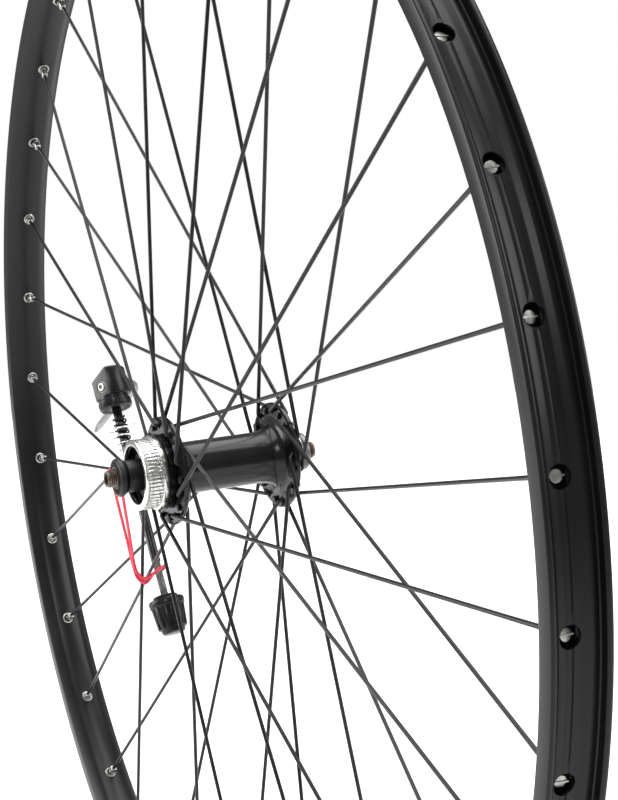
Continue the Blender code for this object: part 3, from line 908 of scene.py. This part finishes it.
def buildPivot():
    size, cheek = head["pin"], head["cheek"]
    bm = bmesh.new()
    turn(bm, [(1.0, -cheek + 0.7), (1.0, -cheek - 0.35), (1.25, -cheek - 0.45),
              (size - 0.35, -cheek - 0.45), (size, -cheek - 0.15), (size, 16.6), (size - 0.3, 16.88),
              (0.4, 16.88), (0.4, -cheek + 0.7)], 36)
    bmesh.ops.holes_fill(bm, edges=[e for e in bm.edges if e.is_boundary], sides=0)
    toObject(bm, "camShaft", "nickel", "lever", ("skewer_cam_pin",), 30, onPin)
    bm = bmesh.new()
    turn(bm, [(2.7, -cheek + 0.85), (3.2, -cheek + 0.85), (3.2, -cheek + 0.1), (3.0, -cheek - 0.05),
              (2.7, -cheek + 0.1)], 40)
    toObject(bm, "shaftBush", "nickel", "wheel", at=onPin)


downLocal = onPin.to_3x3().inverted() @ down
lever = {"start": 2, "length": 32.3, "drop": 0.3, "curve": 0.003, "stations": 22}


def leverStation(along):
    t = along / lever["length"]
    wide = 2.7 + 0.45 * min(1, t / 0.5) - 2.0 * max(0, (t - 0.8) / 0.2) ** 2.4
    thick = 3.0 - 1.5 * min(1, max(0, t - 0.06) / 0.3) - 0.8 * max(0, (t - 0.5) / 0.5) ** 1.5
    slope = math.atan(lever["drop"] + 2 * lever["curve"] * along)
    drop = lever["drop"] * along + lever["curve"] * along ** 2
    middle = Vector((along, head["leverOut"], 0)) + downLocal * drop
    way = Vector((math.cos(slope), 0, 0)) + downLocal * math.sin(slope)
    turned = Matrix((yAxis, way.cross(yAxis), way)).transposed().to_4x4()
    return Matrix.Translation(middle) @ turned @ Matrix.Diagonal((max(wide, 0.8), max(thick, 0.5), 1, 1))


def buildLever():
    start, count = lever["start"], lever["stations"]
    reach = lever["length"] - start
    stations = [leverStation(start + reach * (1 - (1 - k / count) ** 1.3)) for k in range(count + 1)]
    bm = bmesh.new()
    bmesh.ops.create_circle(bm, cap_ends=True, segments=28, radius=1, matrix=stations[0])
    face = bm.faces[:][0]
    for before, after in zip(stations, stations[1:]):
        face = bmesh.ops.extrude_discrete_faces(bm, faces=[face])["faces"][0]
        bmesh.ops.transform(bm, matrix=after @ before.inverted(), verts=face.verts)
    bmesh.ops.holes_fill(bm, edges=[e for e in bm.edges if e.is_boundary], sides=0)
    softenEdges(bm, 0.3, 50)
    arm = toObject(bm, "leverArm", "satinAlloy", "lever", ("skewer_lever",), 40, onPin)
    out = head["leverOut"]
    bm = bmesh.new()
    rod(bm, [(out - 2.95, 4.4), (out - 2.6, 4.8), (out + 2.6, 4.8), (out + 2.95, 4.4)], 48)
    cut(arm, bm, "UNION", onPin)
    bm = bmesh.new()
    rod(bm, [(out - 5, 2.65), (out + 5, 2.65)], 32)
    cut(arm, bm, at=onPin)
    bm = bmesh.new()
    turn(bm, [(2.6, out + 2.7), (4.0, out + 2.7), (4.0, out + 3.0), (3.7, out + 3.2), (2.6, out + 3.2)], 40)
    toObject(bm, "leverCap", "housingBlack", "lever", at=onPin)


def buildNut():
    face, length = skewer["nutFace"], skewer["nutLength"]
    bm = bmesh.new()
    turn(bm, [(2.6, face), (8.8, face), (9.2, face + 0.25), (9.45, face + 0.7), (9.45, face + 3.4),
              (9.2, face + 3.9), (8.55, face + 4.3), (8.2, face + 5.2), (7.7, face + 11.5),
              (6.5, face + length - 1.8), (5.9, face + length - 0.4), (5.2, face + length),
              (0.15, face + length), (0.15, face + 17), (2.6, face + 17)], 72)
    middle = (7.65, face + 9.6, 0)
    rib = box(bm, (1.5, 12.0, 2.6), middle, 0.5)
    verts = [v for v in rib if isinstance(v, bmesh.types.BMVert)]
    bmesh.ops.rotate(bm, cent=middle, matrix=Matrix.Rotation(math.radians(5), 3, "Z"), verts=verts)
    repeatRound(bm, rib, 12)
    knurl(bm, 48, (0.45, 2.0, 0.6), (9.24, face + 2.0, 0))
    toObject(bm, "adjustingNut", "housingBlack", "nut", ("skewer_nut",), 35, onSkewer)
    bm = bmesh.new()
    turn(bm, [(2.65, face - 0.35), (6.45, face - 0.35), (6.55, face - 0.5), (6.55, face - 1.5),
              (6.1, face - 1.9), (2.65, face - 1.9)], 64)
    knurl(bm, 30, (2.8, 0.4, 0.5), (4.6, face - 1.8, 0))
    toObject(bm, "nutFaceRing", "blackOxide", "nut_carriage", ("nut_face_ring",), 35, onSkewer)


springs = {
    "blackSpring": {"start": 2.5, "length": 14.5, "first": 3.4, "last": 3.4, "thick": 0.55, "turns": 4.5,
                    "finish": "blackOxide", "node": "spring_black"},
    "brightSpring": {"start": 8, "length": 13.5, "first": 8.0, "last": 3.7, "thick": 0.45, "turns": 3.5,
                     "finish": "brightWire", "node": "spring_chrome"},
}


def buildSpring(name, spring):
    points = []
    total = int(spring["turns"] * 28)
    for i in range(total + 1):
        t = i / total
        angle = 2 * math.pi * spring["turns"] * t
        radius = spring["first"] + (spring["last"] - spring["first"]) * t
        point = beside * radius * math.cos(angle) + across * radius * math.sin(angle)
        points.append(base + (down * (spring["start"] + spring["length"] * t) + point) * mm)
    wire(name, points, spring["thick"], spring["finish"], "wheel", (spring["node"],), sides=3)


buildRod()
buildHousing()
buildFoot()
buildPivot()
buildLever()
buildNut()
for name, spring in springs.items():
    buildSpring(name, spring)
print("skewer done")


band = {
    "thick": 0.83, "hookSpoke": 19, "hookAlong": 81.9, "hookRadius": 2.35, "bendSpoke": 23, "bendAlong": 70.7,
    "bendRadius": 6.27, "gap": 1.62, "wrap": 89.9, "wrapRadius": 3.31,
}


def spokeLine(index):
    hole, end, side, right = spokePlan(index)
    start = hole + yAxis * side * (lacing["outer"] if (side > 0) == right else lacing["inner"])
    return start, (end - start).normalized()


def bandStrand(sign, hook, fall, side, bend, bendGap, enter, leave, turned):
    # one strand, from the spoke that it hooks over to the bend by the lower spoke
    radius = band["bendRadius"]
    first, last = hook + side * sign, bend + enter * radius + bendGap * sign
    return [hook - fall * 0.9 + side * (sign * 0.91), hook + fall * 2.5 + side * sign,
            first.lerp(last, 0.35), first.lerp(last, 0.7), last - fall * 0.6,
            bend + (enter + leave).normalized() * radius + bendGap * sign,
            bend + leave * radius + turned * 0.8 + bendGap * sign]


def buildBand():
    top, topWay = spokeLine(band["hookSpoke"])
    low, lowWay = spokeLine(band["bendSpoke"])
    hook, bend = top + topWay * band["hookAlong"], low + lowWay * band["bendAlong"]
    wrap = base / mm + down * band["wrap"]
    fall, turned = (bend - hook).normalized(), (wrap - bend).normalized()
    inner = (turned - fall).normalized()
    inner = (inner - lowWay * inner.dot(lowWay)).normalized()
    enter = (fall * inner.dot(fall) - inner).normalized()
    leave = (turned * inner.dot(turned) - inner).normalized()
    facing = bend - wrap
    facing = (facing - down * facing.dot(down)).normalized()
    beyond = down.cross(facing)
    side = topWay.cross(fall).normalized() * band["hookRadius"]
    strand = (hook, fall, side, bend, lowWay * band["gap"], enter, leave, turned)
    points = [hook - fall * band["hookRadius"]] + bandStrand(1, *strand)
    for degrees, lift in ((88, 1.0), (120, 0.6), (180, 0.0), (240, -0.6), (272, -1.0)):
        angle = math.radians(degrees)
        outward = facing * math.cos(angle) + beyond * math.sin(angle)
        points.append(wrap + down * lift + outward * band["wrapRadius"])
    points += bandStrand(-1, *strand)[::-1]
    route = [p * mm for p in smoothLoop(points, 10)]
    wire("redBand", route, band["thick"], "redRubber", "wheel", ("rubber_band",), cyclic=True, sides=5)


buildBand()
print("rubber band done")
